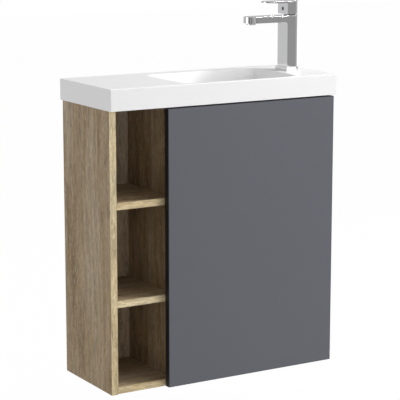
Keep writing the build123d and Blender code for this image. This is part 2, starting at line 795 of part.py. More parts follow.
with BuildPart() as waste_backnut:
    backnut_top = under_bowl - lower_gasket_height
    with BuildSketch(Plane.XY.offset(backnut_top - backnut_height)):
        with Locations((drain_x, drain_y)):
            RegularPolygon(backnut_radius, 6)
            Circle(waste_shank + slip, mode=Mode.SUBTRACT)
    extrude(amount=backnut_height)
waste_backnut.part.label = "waste_backnut"
export_step(waste_backnut.part, "parts/waste_backnut.step")

plug_low = flange_top + seat_gap + plug_seal_height

with BuildPart() as waste_plug:
    rod_z(drain_x, drain_y, (plug_low, plug_low + plug_height), plug_radius)
    fillet(waste_plug.edges().sort_by(Axis.Z)[-1], plug_round)
    rod_z(drain_x, drain_y, (spider_low - plug_stem_tail, plug_low), plug_stem_radius)
waste_plug.part.label = "waste_plug"
export_step(waste_plug.part, "parts/waste_plug.step")

with BuildPart() as waste_plug_seal:
    rod_z(drain_x, drain_y, (flange_top + seat_gap, plug_low), plug_seal_outer)
    rod_z(drain_x, drain_y, (flange_top + seat_gap, plug_low), plug_seal_inner, Mode.SUBTRACT)
waste_plug_seal.part.label = "waste_plug_seal"
export_step(waste_plug_seal.part, "parts/waste_plug_seal.step")

# Bottle trap, hung on the waste's tail and piped to the wall
trap_pipe = 16.0
trap_pipe_wall = 1.6
trap_fit = 0.2
bottle_radius = 31.0
bottle_wall = 2.5
bottle_height = 76.0
bottle_shoulder = 6.0
bottle_round = 6.0
neck_radius = 22.0
neck_height = 18.0
neck_drop = 34.0
dip_clearance = 16.0
dip_flange = 3.0
nut_wall = 5.0
nut_lip = 4.0
nut_lap = 12.0
inlet_nut_lap = 14.0
outlet_drop = 20.0
stub_radius = 20.0
stub_reach = 62.0
pipe_gap = 4.0
pipe_mark_gap = 2.5
pipe_mark_width = 1.5
pipe_mark_depth = 0.4
seal_height = 4.0
cup_wall_thickness = 3.0
cup_floor = 3.0
cup_ledge = 1.0
cup_round = 5.0
cup_seal_height = 2.0
cup_drop = 22.0
cup_lap = 12.0

# Derived places of the trap
neck_top = waste_tail_low - neck_drop
bottle_top = neck_top - neck_height
bottle_low = bottle_top - bottle_height
dip_low = bottle_low + dip_clearance
outlet_level = bottle_top - outlet_drop
stub_start = drain_y + neck_radius
stub_end = drain_y + stub_reach
cup_low = bottle_low - cup_drop
neck_bore_low = bottle_top - bottle_shoulder

with BuildPart() as trap_inlet_tube:
    rod_z(drain_x, drain_y, (waste_tail_low - dip_flange, waste_tail_low), waste_tail)
    rod_z(drain_x, drain_y, (dip_low, waste_tail_low), trap_pipe)
    rod_z(drain_x, drain_y, (dip_low, waste_tail_low), trap_pipe - trap_pipe_wall, Mode.SUBTRACT)
trap_inlet_tube.part.label = "trap_inlet_tube"
export_step(trap_inlet_tube.part, "parts/trap_inlet_tube.step")

with BuildPart() as trap_inlet_nut:
    nut_low = waste_tail_low - dip_flange - nut_lip
    nut_high = waste_tail_low + inlet_nut_lap
    rod_z(drain_x, drain_y, (nut_low, nut_high), waste_tail + nut_wall)
    rod_z(drain_x, drain_y, (nut_low + nut_lip, nut_high), waste_tail + slip, Mode.SUBTRACT)
    rod_z(drain_x, drain_y, (nut_low, nut_high), trap_pipe + trap_fit, Mode.SUBTRACT)
trap_inlet_nut.part.label = "trap_inlet_nut"
export_step(trap_inlet_nut.part, "parts/trap_inlet_nut.step")

with BuildPart() as trap_body:
    rod_z(drain_x, drain_y, (bottle_low, bottle_top), bottle_radius)
    fillet(trap_body.edges().sort_by(Axis.Z)[-1], bottle_round)
    rod_z(drain_x, drain_y, (neck_bore_low, neck_top), neck_radius)
    rod_y(drain_x, (stub_start, stub_end), outlet_level, stub_radius)
    rod_z(drain_x, drain_y, (bottle_low, neck_bore_low), bottle_radius - bottle_wall,
          Mode.SUBTRACT)
    rod_z(drain_x, drain_y, (neck_bore_low, neck_top), trap_pipe + trap_fit, Mode.SUBTRACT)
    rod_y(drain_x, (stub_start, stub_end), outlet_level, trap_pipe + trap_fit, Mode.SUBTRACT)
trap_body.part.label = "trap_body"
export_step(trap_body.part, "parts/trap_body.step")

with BuildPart() as trap_neck_seal:
    rod_z(drain_x, drain_y, (neck_top, neck_top + seal_height), neck_radius - trap_fit)
    rod_z(drain_x, drain_y, (neck_top, neck_top + seal_height), trap_pipe + slip, Mode.SUBTRACT)
trap_neck_seal.part.label = "trap_neck_seal"
export_step(trap_neck_seal.part, "parts/trap_neck_seal.step")

with BuildPart() as trap_neck_nut:
    neck_nut_top = neck_top + seal_height + nut_lip
    rod_z(drain_x, drain_y, (neck_top - nut_lap, neck_nut_top), neck_radius + nut_wall)
    rod_z(drain_x, drain_y, (neck_top - nut_lap, neck_top + seal_height), neck_radius + slip,
          Mode.SUBTRACT)
    rod_z(drain_x, drain_y, (neck_top, neck_nut_top), trap_pipe + trap_fit, Mode.SUBTRACT)
trap_neck_nut.part.label = "trap_neck_nut"
export_step(trap_neck_nut.part, "parts/trap_neck_nut.step")

with BuildPart() as trap_cup:
    rod_z(drain_x, drain_y, (cup_low, bottle_low + cup_lap), bottle_radius + cup_wall_thickness)
    fillet(trap_cup.edges().sort_by(Axis.Z)[0], cup_round)
    rod_z(drain_x, drain_y, (bottle_low - cup_seal_height, bottle_low + cup_lap),
          bottle_radius + slip, Mode.SUBTRACT)
    rod_z(drain_x, drain_y, (cup_low + cup_floor, bottle_low),
          bottle_radius - bottle_wall - cup_ledge, Mode.SUBTRACT)
trap_cup.part.label = "trap_cup"
export_step(trap_cup.part, "parts/trap_cup.step")

with BuildPart() as trap_cup_seal:
    rod_z(drain_x, drain_y, (bottle_low - cup_seal_height, bottle_low), bottle_radius)
    rod_z(drain_x, drain_y, (bottle_low - cup_seal_height, bottle_low),
          bottle_radius - bottle_wall, Mode.SUBTRACT)
trap_cup_seal.part.label = "trap_cup_seal"
export_step(trap_cup_seal.part, "parts/trap_cup_seal.step")

with BuildPart() as trap_outlet_seal:
    rod_y(drain_x, (stub_end, stub_end + seal_height), outlet_level, stub_radius - trap_fit)
    rod_y(drain_x, (stub_end, stub_end + seal_height), outlet_level, trap_pipe + slip,
          Mode.SUBTRACT)
trap_outlet_seal.part.label = "trap_outlet_seal"
export_step(trap_outlet_seal.part, "parts/trap_outlet_seal.step")

with BuildPart() as trap_outlet_nut:
    outlet_nut_end = stub_end + seal_height + nut_lip
    rod_y(drain_x, (stub_end - nut_lap, outlet_nut_end), outlet_level, stub_radius + nut_wall)
    rod_y(drain_x, (stub_end - nut_lap, stub_end + seal_height), outlet_level, stub_radius + slip,
          Mode.SUBTRACT)
    rod_y(drain_x, (stub_end, outlet_nut_end), outlet_level, trap_pipe + trap_fit, Mode.SUBTRACT)
trap_outlet_nut.part.label = "trap_outlet_nut"
export_step(trap_outlet_nut.part, "parts/trap_outlet_nut.step")

with BuildPart() as trap_outlet_pipe:
    pipe_start = drain_y + bottle_radius + pipe_gap
    mark_start = outlet_nut_end + pipe_mark_gap
    mark_end = mark_start + pipe_mark_width
    rod_y(drain_x, (pipe_start, mark_start), outlet_level, trap_pipe)
    rod_y(drain_x, (mark_start, mark_end), outlet_level, trap_pipe - pipe_mark_depth)
    rod_y(drain_x, (mark_end, wall_plane), outlet_level, trap_pipe)
    rod_y(drain_x, (pipe_start, wall_plane), outlet_level, trap_pipe - trap_pipe_wall,
          Mode.SUBTRACT)
trap_outlet_pipe.part.label = "trap_outlet_pipe"
export_step(trap_outlet_pipe.part, "parts/trap_outlet_pipe.step")

# Faucet: a column with a flat front and a round back, and a spout with a round tip
plate_top = basin_top + plate_height
column_top = basin_top + column_height
spout_low = column_top - spout_thickness
column_front = faucet_x - faucet_front
spout_tip = faucet_x - faucet_front - spout_reach
spout_fillet = 6.0
spigot_play = 0.8
spigot_radius = deck_hole_radius - spigot_play
cartridge_radius = 13.0
cartridge_depth = 29.0
cartridge_nut_depth = 12.0
cartridge_low = column_top - cartridge_depth
cartridge_shoulder = column_top - cartridge_nut_depth
nut_radius = 14.0
nut_play = 0.5
nut_top = column_top + lever_gap - nut_play
waterway_radius = 2.6
waterway_rise = 5.2
aerator_inset = 18.3
aerator_x = spout_tip + aerator_inset
aerator_radius = 12.0
aerator_drop = 4.0
aerator_thread = 10.8
aerator_length = 8.0
aerator_bore = 8.8
stud_radius = 4.0
stud_offset = 9.0
stud_depth = 12.0
port_radius = 4.5
port_depth = 14.0
port_setback = 5.0
port_pitch = 17.0
port_x = faucet_x - port_setback


def column_plan(height, grow):
    """The column's outline: flat front, straight sides and a half round back."""
    half = faucet_half + grow
    front = column_front - grow
    with BuildSketch(Plane.XY.offset(height)) as plan:
        with BuildLine():
            Polyline((faucet_x, faucet_y + half), (front, faucet_y + half),
                     (front, faucet_y - half), (faucet_x, faucet_y - half))
            ThreePointArc((faucet_x, faucet_y - half), (faucet_x + half, faucet_y),
                          (faucet_x, faucet_y + half))
        make_face()
    return plan.sketch


def tongue_plan(height, tip):
    """A straight tongue as wide as the column, round at its tip and at the back."""
    with BuildSketch(Plane.XY.offset(height)) as plan:
        with Locations(((tip + faucet_half + faucet_x) / 2, faucet_y)):
            SlotCenterToCenter(faucet_x - tip - faucet_half, 2 * faucet_half)
    return plan.sketch


with BuildPart() as faucet_body:
    extrude(column_plan(plate_top, 0.0), amount=column_height - plate_height)
    extrude(tongue_plan(spout_low, spout_tip), amount=spout_thickness)
    across = faucet_body.edges().filter_by(Axis.Y)
    under_spout = across.filter_by_position(Axis.Z, spout_low - slip, spout_low + slip)
    fillet(under_spout.sort_by(Axis.X)[-1], spout_fillet)
    fillet(faucet_body.faces().sort_by(Axis.Z)[-1].edges(), edge_round)
    rod_z(faucet_x, faucet_y, (basin_top, plate_top), spigot_radius)
    rod_z(faucet_x, faucet_y, (cartridge_low, column_top), cartridge_radius + slip, Mode.SUBTRACT)
    rod_z(faucet_x, faucet_y, (cartridge_shoulder, column_top), nut_radius + slip, Mode.SUBTRACT)
    rod_z(aerator_x, faucet_y, (spout_low, spout_low + aerator_length + slip),
          aerator_thread + slip, Mode.SUBTRACT)
    rod_x((aerator_x, faucet_x), faucet_y, spout_low + waterway_rise, waterway_radius,
          Mode.SUBTRACT)
    rod_z(faucet_x + stud_offset, faucet_y, (basin_top, basin_top + stud_depth),
          stud_radius + slip, Mode.SUBTRACT)
    for way in (-1, 1):
        rod_z(port_x, faucet_y + way * port_pitch / 2, (basin_top, basin_top + port_depth),
              port_radius, Mode.SUBTRACT)
faucet_body.part.label = "faucet_body"
export_step(faucet_body.part, "parts/faucet_body.step")

with BuildPart() as faucet_base_plate:
    extrude(column_plan(basin_top, plate_flange), amount=plate_height)
    fillet(faucet_base_plate.faces().sort_by(Axis.Z)[-1].edges(), edge_round)
    rod_z(faucet_x, faucet_y, (basin_top, plate_top), spigot_radius + slip, Mode.SUBTRACT)
faucet_base_plate.part.label = "faucet_base_plate"
export_step(faucet_base_plate.part, "parts/faucet_base_plate.step")

with BuildPart() as aerator_housing:
    rod_z(aerator_x, faucet_y, (spout_low - aerator_drop, spout_low), aerator_radius)
    fillet(aerator_housing.edges().sort_by(Axis.Z)[0], edge_round)
    rod_z(aerator_x, faucet_y, (spout_low, spout_low + aerator_length), aerator_thread)
    rod_z(aerator_x, faucet_y, (spout_low - aerator_drop, spout_low + aerator_length),
          aerator_bore, Mode.SUBTRACT)
aerator_housing.part.label = "aerator_housing"
export_step(aerator_housing.part, "parts/aerator_housing.step")

insert_setback = 1.0
insert_low = spout_low - aerator_drop + insert_setback
insert_high = spout_low + aerator_length - insert_setback
jet_radius = 0.9
jet_depth = 2.0
jet_pitch = 2.6
jet_count = 5

with BuildPart() as aerator_insert:
    rod_z(aerator_x, faucet_y, (insert_low, insert_high), aerator_bore - running_clearance)
    with Locations((aerator_x, faucet_y, insert_low)):
        with GridLocations(jet_pitch, jet_pitch, jet_count, jet_count):
            Cylinder(jet_radius, jet_depth, align=(Align.CENTER, Align.CENTER, Align.MIN),
                     mode=Mode.SUBTRACT)
aerator_insert.part.label = "aerator_insert"
export_step(aerator_insert.part, "parts/aerator_insert.step")

# Cartridge under the lever. Its rotor turns with the lever, and the stem tilts on a pin in
# the rotor's ears. The pin stands a little behind the turning axis.
pivot_setback = 3.0
pivot_height = 9.5
rotor_radius = 8.0
rotor_lift = 3.0
rotor_play = 0.3
nut_clearance = 0.5
cartridge_collar = 10.0
cartridge_neck = 10.4
disc_gap = 0.4
disc_height = 2.0
disc_radius = 10.0
stem_half = 4.0
stem_foot_half = 3.0
stem_foot_drop = 2.4
stem_shoulder = 3.0
stem_height = 14.0
ear_gap = 0.2
ear_thickness = 2.3
ear_half_length = 4.0
ear_rise = 2.5
pivot_pin_radius = 1.5
boss_rise = 6.0
pivot_x = faucet_x + pivot_setback
pivot_z = column_top + pivot_height
rotor_low = cartridge_shoulder + rotor_lift
cartridge_top = cartridge_shoulder + cartridge_collar
disc_low = nut_top + disc_gap
disc_top = disc_low + disc_height
ear_inner = stem_half + ear_gap
ear_outer = ear_inner + ear_thickness
boss_low = pivot_z + boss_rise
stem_top = pivot_z + stem_height

with BuildPart() as cartridge_body:
    rod_z(faucet_x, faucet_y, (cartridge_low, cartridge_shoulder), cartridge_radius)
    rod_z(faucet_x, faucet_y, (cartridge_shoulder, cartridge_top), cartridge_neck)
    rod_z(faucet_x, faucet_y, (rotor_low - rotor_play, cartridge_top),
          rotor_radius + running_clearance, Mode.SUBTRACT)
cartridge_body.part.label = "cartridge_body"
export_step(cartridge_body.part, "parts/cartridge_body.step")

with BuildPart() as cartridge_nut:
    rod_z(faucet_x, faucet_y, (cartridge_shoulder, nut_top), nut_radius)
    rod_z(faucet_x, faucet_y, (cartridge_shoulder, cartridge_top + slip), cartridge_neck + slip,
          Mode.SUBTRACT)
    rod_z(faucet_x, faucet_y, (cartridge_shoulder, nut_top), rotor_radius + nut_clearance,
          Mode.SUBTRACT)
cartridge_nut.part.label = "cartridge_nut"
export_step(cartridge_nut.part, "parts/cartridge_nut.step")

with BuildPart() as cartridge_rotor:
    rod_z(faucet_x, faucet_y, (rotor_low, disc_top), rotor_radius)
    rod_z(faucet_x, faucet_y, (disc_low, disc_top), disc_radius)
    for way in (-1, 1):
        ear_span = ordered(faucet_y + way * ear_inner, faucet_y + way * ear_outer)
        block((pivot_x - ear_half_length, pivot_x + ear_half_length), ear_span,
              (disc_low, pivot_z + ear_rise))
    rod_y(pivot_x, (faucet_y - ear_outer, faucet_y + ear_outer), pivot_z,
          pivot_pin_radius + running_clearance, Mode.SUBTRACT)
cartridge_rotor.part.label = "cartridge_rotor"
export_step(cartridge_rotor.part, "parts/cartridge_rotor.step")

with BuildPart() as cartridge_stem:
    block((pivot_x - stem_foot_half, pivot_x + stem_foot_half),
          (faucet_y - stem_half, faucet_y + stem_half),
          (pivot_z - stem_foot_drop, pivot_z + stem_shoulder))
    block((pivot_x - stem_half, pivot_x + stem_half),
          (faucet_y - stem_half, faucet_y + stem_half), (pivot_z + stem_shoulder, stem_top))
    rod_y(pivot_x, (faucet_y - ear_outer, faucet_y + ear_outer), pivot_z, pivot_pin_radius)
cartridge_stem.part.label = "cartridge_stem"
export_step(cartridge_stem.part, "parts/cartridge_stem.step")

lever_low = column_top + lever_gap
lever_top = lever_low + lever_height
lever_tip = column_front - lever_reach
lever_wall = 4.0
lever_roof = 8.0
lever_back_chamfer = 7.0
boss_radius = 8.0
index_radius = 4.5
index_depth = 2.0
index_proud = 0.2
index_round = 0.15
index_rise = 12.5
index_level = lever_low + index_rise
lever_margin = 1.0
lever_back = faucet_x + faucet_half
taper_high = lever_top - lever_thickness
taper_low = lever_top - lever_tip_thickness
lever_side = Plane.XZ.offset(-faucet_y - faucet_half - lever_margin)
lever_cut_width = 2 * (faucet_half + lever_margin)

with BuildPart() as lever_handle:
    extrude(column_plan(lever_low, 0.0), amount=lever_height)
    extrude(tongue_plan(lever_top - lever_thickness, lever_tip), amount=lever_thickness)
    with BuildSketch(lever_side):
        with BuildLine():
            Polyline((lever_tip, taper_low), (lever_tip - lever_margin, taper_low),
                     (lever_tip - lever_margin, taper_high - lever_margin),
                     (column_front, taper_high - lever_margin), (column_front, taper_high),
                     close=True)
        make_face()
    extrude(amount=lever_cut_width, mode=Mode.SUBTRACT)
    fillet(lever_handle.faces().sort_by(Axis.Z)[-1].edges(), edge_round)
    with BuildSketch(lever_side):
        with BuildLine():
            Polyline((lever_back - lever_back_chamfer, lever_low),
                     (lever_back + lever_margin, lever_low + lever_back_chamfer + lever_margin),
                     (lever_back + lever_margin, lever_low), close=True)
        make_face()
    extrude(amount=lever_cut_width, mode=Mode.SUBTRACT)
    extrude(column_plan(lever_low, -lever_wall), amount=lever_height - lever_roof,
            mode=Mode.SUBTRACT)
    rod_z(pivot_x, faucet_y, (boss_low, lever_top - lever_roof), boss_radius)
    block((pivot_x - stem_half - slip, pivot_x + stem_half + slip),
          (faucet_y - stem_half - slip, faucet_y + stem_half + slip),
          (boss_low, stem_top + slip), Mode.SUBTRACT)
    rod_x((column_front, column_front + index_depth + slip), faucet_y, index_level,
          index_radius + slip, Mode.SUBTRACT)
lever_handle.part.label = "lever_handle"
export_step(lever_handle.part, "parts/lever_handle.step")

with BuildPart() as index_plug:
    rod_x((column_front - index_proud, column_front + index_depth), faucet_y, index_level,
          index_radius)
    fillet(index_plug.edges().sort_by(Axis.X)[0], index_round)
index_plug.part.label = "index_plug"
export_step(index_plug.part, "parts/index_plug.step")

# Under the deck: stud, rubber washer, steel plate and nut
washer_radius = 23.0
washer_height = 3.0
clamp_height = 2.5
stud_nut_radius = 6.5
stud_nut_height = 7.0
stud_reach = 22.0
hose_slot_length = 13.0
hose_slot_width = 27.0
hose_slot_setback = 3.0
hose_slot_end = faucet_x + hose_slot_setback
stud_low = under_deck - stud_reach
washer_low = under_deck - washer_height
clamp_low = washer_low - clamp_height


def hose_slot(z_span):
    """The opening for the supply hoses, cut from a clamping washer."""
    block((hose_slot_end - hose_slot_length, hose_slot_end),
          (faucet_y - hose_slot_width / 2, faucet_y + hose_slot_width / 2), z_span, Mode.SUBTRACT)
    rod_z(faucet_x + stud_offset, faucet_y, z_span, stud_radius + slip, Mode.SUBTRACT)


with BuildPart() as stud_rubber_washer:
    rod_z(faucet_x, faucet_y, (washer_low, under_deck), washer_radius)
    hose_slot((washer_low, under_deck))
stud_rubber_washer.part.label = "stud_rubber_washer"
export_step(stud_rubber_washer.part, "parts/stud_rubber_washer.step")

with BuildPart() as stud_steel_plate:
    rod_z(faucet_x, faucet_y, (clamp_low, washer_low), washer_radius)
    hose_slot((clamp_low, washer_low))
stud_steel_plate.part.label = "stud_steel_plate"
export_step(stud_steel_plate.part, "parts/stud_steel_plate.step")

with BuildPart() as stud_nut:
    with BuildSketch(Plane.XY.offset(clamp_low - stud_nut_height)):
        with Locations((faucet_x + stud_offset, faucet_y)):
            RegularPolygon(stud_nut_radius, 6)
            Circle(stud_radius + slip, mode=Mode.SUBTRACT)
    extrude(amount=stud_nut_height)
stud_nut.part.label = "stud_nut"
export_step(stud_nut.part, "parts/stud_nut.step")

with BuildPart() as faucet_stud:
    rod_z(faucet_x + stud_offset, faucet_y, (stud_low, basin_top + stud_depth), stud_radius)
faucet_stud.part.label = "faucet_stud"
export_step(faucet_stud.part, "parts/faucet_stud.step")
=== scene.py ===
import math

import bpy
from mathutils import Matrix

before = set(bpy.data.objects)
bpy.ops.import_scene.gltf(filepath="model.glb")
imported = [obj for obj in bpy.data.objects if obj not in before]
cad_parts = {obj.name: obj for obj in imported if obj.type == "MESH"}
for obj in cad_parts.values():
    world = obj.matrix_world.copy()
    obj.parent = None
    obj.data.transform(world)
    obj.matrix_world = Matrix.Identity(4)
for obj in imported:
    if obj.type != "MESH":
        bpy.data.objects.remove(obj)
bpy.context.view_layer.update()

# The camera stands in front of the unit's left corner, a little over the basin, and looks
# down by eleven degrees. Its place was fitted to the corners that the photograph shows.
camera_place = (-1.9033, -3.1902, 1.1158)
camera_turn = 30.81
camera_dip = 10.88
camera_focal_pixels = 1612.8
photo_pixels = 400
sensor_mm = 36.0
camera_data = bpy.data.cameras.new("photo_camera")
camera_data.sensor_width = sensor_mm
camera_data.lens = camera_focal_pixels * sensor_mm / photo_pixels
camera = bpy.data.objects.new("photo_camera", camera_data)
camera.location = camera_place
camera.rotation_euler = (math.radians(90 - camera_dip), 0, -math.radians(camera_turn))
bpy.context.scene.collection.objects.link(camera)
bpy.context.scene.camera = camera
bpy.context.scene.view_settings.view_transform = "Standard"

# The studio: even daylight all round, which the camera sees as plain white, a steep lamp
# over the right end, and soft panels at the front right, the right and the left.
ambient_light = 0.52
cabinet_middle = (0, 0, 0.4)
basin_right = (0.2, 0, 0.7)
world = bpy.data.worlds.new("studio")
world.use_nodes = True
bpy.context.scene.world = world
tree = world.node_tree
tree.nodes.clear()
paths = tree.nodes.new("ShaderNodeLightPath")
seen = tree.nodes.new("ShaderNodeMath")
seen.operation = "MAXIMUM"
tree.links.new(paths.outputs["Is Camera Ray"], seen.inputs[0])
tree.links.new(paths.outputs["Is Transmission Ray"], seen.inputs[1])
daylight = tree.nodes.new("ShaderNodeBackground")
daylight.inputs["Color"].default_value = (1, 1, 1, 1)
daylight.inputs["Strength"].default_value = ambient_light
white = tree.nodes.new("ShaderNodeBackground")
white.inputs["Color"].default_value = (1, 1, 1, 1)
either = tree.nodes.new("ShaderNodeMixShader")
tree.links.new(seen.outputs[0], either.inputs["Fac"])
tree.links.new(daylight.outputs[0], either.inputs[1])
tree.links.new(white.outputs[0], either.inputs[2])
sky = tree.nodes.new("ShaderNodeOutputWorld")
tree.links.new(either.outputs[0], sky.inputs["Surface"])


def softbox(name, place, aim, width, height, watts):
    """A rectangular studio lamp that looks from its place at a point."""
    data = bpy.data.lights.new(name, "AREA")
    data.shape = "RECTANGLE"
    data.size = width
    data.size_y = height
    data.energy = watts
    lamp = bpy.data.objects.new(name, data)
    bpy.context.scene.collection.objects.link(lamp)
    lamp.location = place
    lamp.visible_camera = False
    way = [a - p for a, p in zip(aim, place)]
    flat = math.hypot(way[0], way[1])
    lamp.rotation_euler = (math.atan2(flat, -way[2]), 0, math.atan2(-way[0], way[1]))


softbox("key_lamp", (1.6, -0.95, 3.2), cabinet_middle, 0.5, 0.5, 62)
softbox("front_right_panel", (2.1, -3.0, 1.7), cabinet_middle, 1.8, 1.6, 39)
softbox("right_panel", (2.6, 0.9, 0.9), basin_right, 1.6, 1.9, 10)
softbox("left_panel", (-2.8, 1.0, 0.9), cabinet_middle, 1.5, 1.5, 9)

# The floor lies as far under the cabinet as a basin's usual height leaves. It is white
# paint, and shows nearly white to the camera, with a faint shadow of the cabinet.
hanging_height = 0.16
floor_half = 12.0
floor_white_share = 0.98
floor_grey = 0.8
bpy.ops.object.select_all(action="DESELECT")
bpy.ops.mesh.primitive_plane_add(size=2 * floor_half, location=(0, 0, -hanging_height))
floor = bpy.context.object
floor.name = "studio_floor"
paint = bpy.data.materials.new("floor_paint")
paint.use_nodes = True
tree = paint.node_tree
tree.nodes.clear()
paths = tree.nodes.new("ShaderNodeLightPath")
share = tree.nodes.new("ShaderNodeMath")
share.operation = "MULTIPLY"
share.inputs[1].default_value = floor_white_share
tree.links.new(paths.outputs["Is Camera Ray"], share.inputs[0])
matt = tree.nodes.new("ShaderNodeBsdfDiffuse")
matt.inputs["Color"].default_value = (floor_grey, floor_grey, floor_grey, 1)
glow = tree.nodes.new("ShaderNodeEmission")
glow.inputs["Color"].default_value = (1, 1, 1, 1)
both = tree.nodes.new("ShaderNodeMixShader")
tree.links.new(share.outputs[0], both.inputs["Fac"])
tree.links.new(matt.outputs[0], both.inputs[1])
tree.links.new(glow.outputs[0], both.inputs[2])
out = tree.nodes.new("ShaderNodeOutputMaterial")
tree.links.new(both.outputs[0], out.inputs["Surface"])
floor.data.materials.append(paint)

# Grey, black and white studio cards round the faucet, which the polished chrome mirrors as
# a grey face and dark streaks. The camera doesn't see them, and matt surfaces get no light
# and no shade from them.
faucet_line = 0.25
card_foot = -0.15
card_head = 2.4


def card(name, azimuth, distance, width, tone):
    """An upright card that faces the faucet, at an angle round it and a distance."""
    bpy.ops.mesh.primitive_plane_add(size=1)
    panel = bpy.context.object
    panel.name = name
    turn = math.radians(azimuth)
    panel.location = (faucet_line + distance * math.cos(turn), distance * math.sin(turn),
                      (card_foot + card_head) / 2)
    panel.rotation_euler = (math.radians(90), 0, turn + math.radians(90))
    panel.scale = (width, card_head - card_foot, 1)
    panel.visible_camera = False
    panel.visible_diffuse = False
    panel.visible_shadow = False
    material = bpy.data.materials.new(name)
    material.use_nodes = True
    nodes = material.node_tree
    nodes.nodes.clear()
    light = nodes.nodes.new("ShaderNodeEmission")
    light.inputs["Color"].default_value = (tone, tone, tone, 1)
    end = nodes.nodes.new("ShaderNodeOutputMaterial")
    nodes.links.new(light.outputs[0], end.inputs["Surface"])
    panel.data.materials.append(material)


card("grey_card_front", -58, 3.6, 1.5, 0.33)
card("pale_card_back", 121, 3.2, 1.6, 0.62)
card("black_card_low", -69, 3.5, 0.22, 0.05)
card("black_card_left", -132, 2.6, 0.35, 0.015)
card("black_card_far_left", -158, 2.6, 0.5, 0.03)
card("white_card_right", 10, 3.3, 4.0, 1.0)

# Carcass boards: chipboard faced with a brushed oak print, grey-brown with pale flecks, fine
# pores and a few small knots. The grain runs along the longer side of each board; cams and
# dowels hold the boards together.
oak_pale = (0.45, 0.365, 0.255)
oak_middle = (0.335, 0.238, 0.134)
oak_dark = (0.205, 0.130, 0.062)
knot_brown = (0.05, 0.032, 0.018)


def new_material(name):
    """A material with a plain principled surface; gives the material, its tree and surface."""
    material = bpy.data.materials.new(name)
    material.use_nodes = True
    nodes = material.node_tree
    nodes.nodes.clear()
    surface = nodes.nodes.new("ShaderNodeBsdfPrincipled")
    output = nodes.nodes.new("ShaderNodeOutputMaterial")
    nodes.links.new(surface.outputs["BSDF"], output.inputs["Surface"])
    return material, nodes, surface


def placed(nodes, scale, shift=(0, 0, 0)):
    """Object coordinates, stretched and shifted."""
    where = nodes.nodes.new("ShaderNodeTexCoord")
    mapping = nodes.nodes.new("ShaderNodeMapping")
    mapping.inputs["Scale"].default_value = scale
    mapping.inputs["Location"].default_value = shift
    nodes.links.new(where.outputs["Object"], mapping.inputs["Vector"])
    return mapping.outputs["Vector"]


def noise(nodes, vector, scale, detail=2.0, roughness=0.5, distortion=0.0):
    """The grey value of a noise texture."""
    texture = nodes.nodes.new("ShaderNodeTexNoise")
    texture.inputs["Scale"].default_value = scale
    texture.inputs["Detail"].default_value = detail
    texture.inputs["Roughness"].default_value = roughness
    texture.inputs["Distortion"].default_value = distortion
    nodes.links.new(vector, texture.inputs["Vector"])
    return texture.outputs["Fac"]


def ramp(nodes, value, stops):
    """A colour ramp; each stop is its place and its colour or grey."""
    node = nodes.nodes.new("ShaderNodeValToRGB")
    line = node.color_ramp
    while len(line.elements) < len(stops):
        line.elements.new(0.5)
    for element, (place, colour) in zip(line.elements, stops):
        element.position = place
        grey = (colour, colour, colour) if isinstance(colour, (int, float)) else colour
        element.color = (*grey, 1)
    nodes.links.new(value, node.inputs["Fac"])
    return node.outputs["Color"]


def mixed(nodes, kind, amount, first, second):
    """Two colours mixed; the amount and both colours may be values or sockets."""
    node = nodes.nodes.new("ShaderNodeMix")
    node.data_type = "RGBA"
    node.blend_type = kind
    slots = (node.inputs["Factor"], node.inputs[6], node.inputs[7])
    for socket, value in zip(slots, (amount, first, second)):
        if isinstance(value, bpy.types.NodeSocket):
            nodes.links.new(value, socket)
        elif isinstance(value, (int, float)):
            socket.default_value = value
        else:
            socket.default_value = (*value, 1)
    return node.outputs[2]


def bumped(nodes, surface, value, strength, distance):
    """Raises the surface by a grey value."""
    bump = nodes.nodes.new("ShaderNodeBump")
    bump.inputs["Strength"].default_value = strength
    bump.inputs["Distance"].default_value = distance
    nodes.links.new(value, bump.inputs["Height"])
    nodes.links.new(bump.outputs["Normal"], surface.inputs["Normal"])


def grain_scale(axis, across, along):
    """Texture scale: fine across the grain, and drawn out along it."""
    return tuple(along if i == axis else across for i in range(3))


